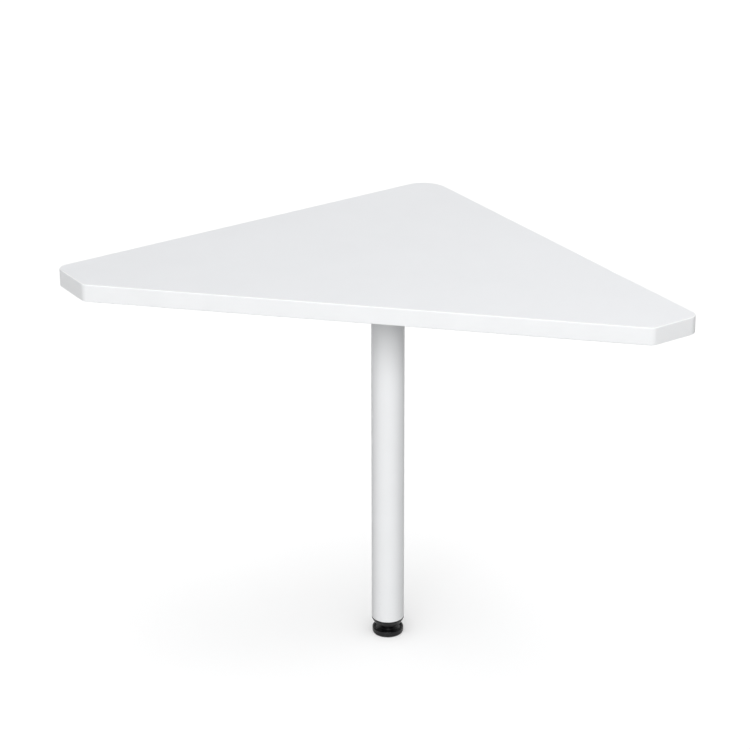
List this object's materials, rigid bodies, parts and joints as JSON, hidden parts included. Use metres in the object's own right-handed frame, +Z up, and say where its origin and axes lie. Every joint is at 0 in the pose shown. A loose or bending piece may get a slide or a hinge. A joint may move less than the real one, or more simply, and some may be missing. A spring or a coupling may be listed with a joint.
{
  "type": "corner table",
  "caption": "White corner piece that joins two desks: a triangular top with a rounded rear corner and cut tips, on a round tube leg with a levelling foot.",
  "frame": {"origin": "on the floor under the leg's axis, at the middle of the foot's underside", "axes": "+X along the long front edge, to the right seen from the front; +Y from the front edge to the rounded rear corner; +Z up"},
  "size_m": [1.1148, 0.6157, 0.75],
  "materials": {
    "coated_board": "matte white melamine coating",
    "white_band": "satin white ABS",
    "white_powder_coat": "satin white powder coat",
    "cast_metal": "as-cast satin",
    "zinc_plated_steel": "bright zinc plating",
    "black_oxide_steel": "black oxide",
    "black_polyamide": "satin black moulding",
    "black_rubber": "matte black"
  },
  "bodies": {
    "table": {"desktop_board": "coated_board", "edge_band": "white_band", "leg_flange": "cast_metal", "clamp_shoe": "cast_metal", "clamp_screw": "black_oxide_steel", "leg_tube": "white_powder_coat", "foot_insert": "black_polyamide", "insert_nut": "zinc_plated_steel", "flange_screw_1": "zinc_plated_steel", "flange_screw_2": "zinc_plated_steel", "flange_screw_3": "zinc_plated_steel", "flange_screw_4": "zinc_plated_steel", "flange_screw_5": "zinc_plated_steel", "plate_screw_1": "zinc_plated_steel", "plate_washer_1": "zinc_plated_steel", "plate_screw_2": "zinc_plated_steel", "plate_washer_2": "zinc_plated_steel", "plate_screw_3": "zinc_plated_steel", "plate_washer_3": "zinc_plated_steel", "plate_screw_4": "zinc_plated_steel", "plate_washer_4": "zinc_plated_steel"},
    "foot": {"foot_base": "black_polyamide", "glide_pad": "black_rubber"},
    "stud": {"levelling_stud": "zinc_plated_steel"},
    "plate_1": {"joining_plate_1": "zinc_plated_steel"},
    "plate_2": {"joining_plate_2": "zinc_plated_steel"},
    "plate_3": {"joining_plate_3": "zinc_plated_steel"},
    "plate_4": {"joining_plate_4": "zinc_plated_steel"}
  },
  "joints": [
    {"name": "foot_travel", "type": "slide", "parent": "table", "child": "foot", "axis": [0, 0, -1], "range_m": [0, 0.02]},
    {"name": "foot_turn", "type": "hinge", "parent": "foot", "child": "stud", "pos_m": [0, 0, 0.0151], "axis": [0, 0, -1], "range_deg": [0, 4800]},
    {"name": "plate_1_swing", "type": "hinge", "parent": "table", "child": "plate_1", "pos_m": [0.41719, -0.08465, 0.7177], "axis": [0, 0, -1], "range_deg": [0, 90]},
    {"name": "plate_2_swing", "type": "hinge", "parent": "table", "child": "plate_2", "pos_m": [0.16971, 0.16284, 0.7177], "axis": [0, 0, 1], "range_deg": [0, 90]},
    {"name": "plate_3_swing", "type": "hinge", "parent": "table", "child": "plate_3", "pos_m": [-0.16971, 0.16284, 0.7177], "axis": [0, 0, -1], "range_deg": [0, 90]},
    {"name": "plate_4_swing", "type": "hinge", "parent": "table", "child": "plate_4", "pos_m": [-0.41719, -0.08465, 0.7177], "axis": [0, 0, 1], "range_deg": [0, 90]}
  ],
  "couplings": [
    {"joint": "foot_travel", "follows": "foot_turn", "m_per_rad": 0.00023873}
  ]
}
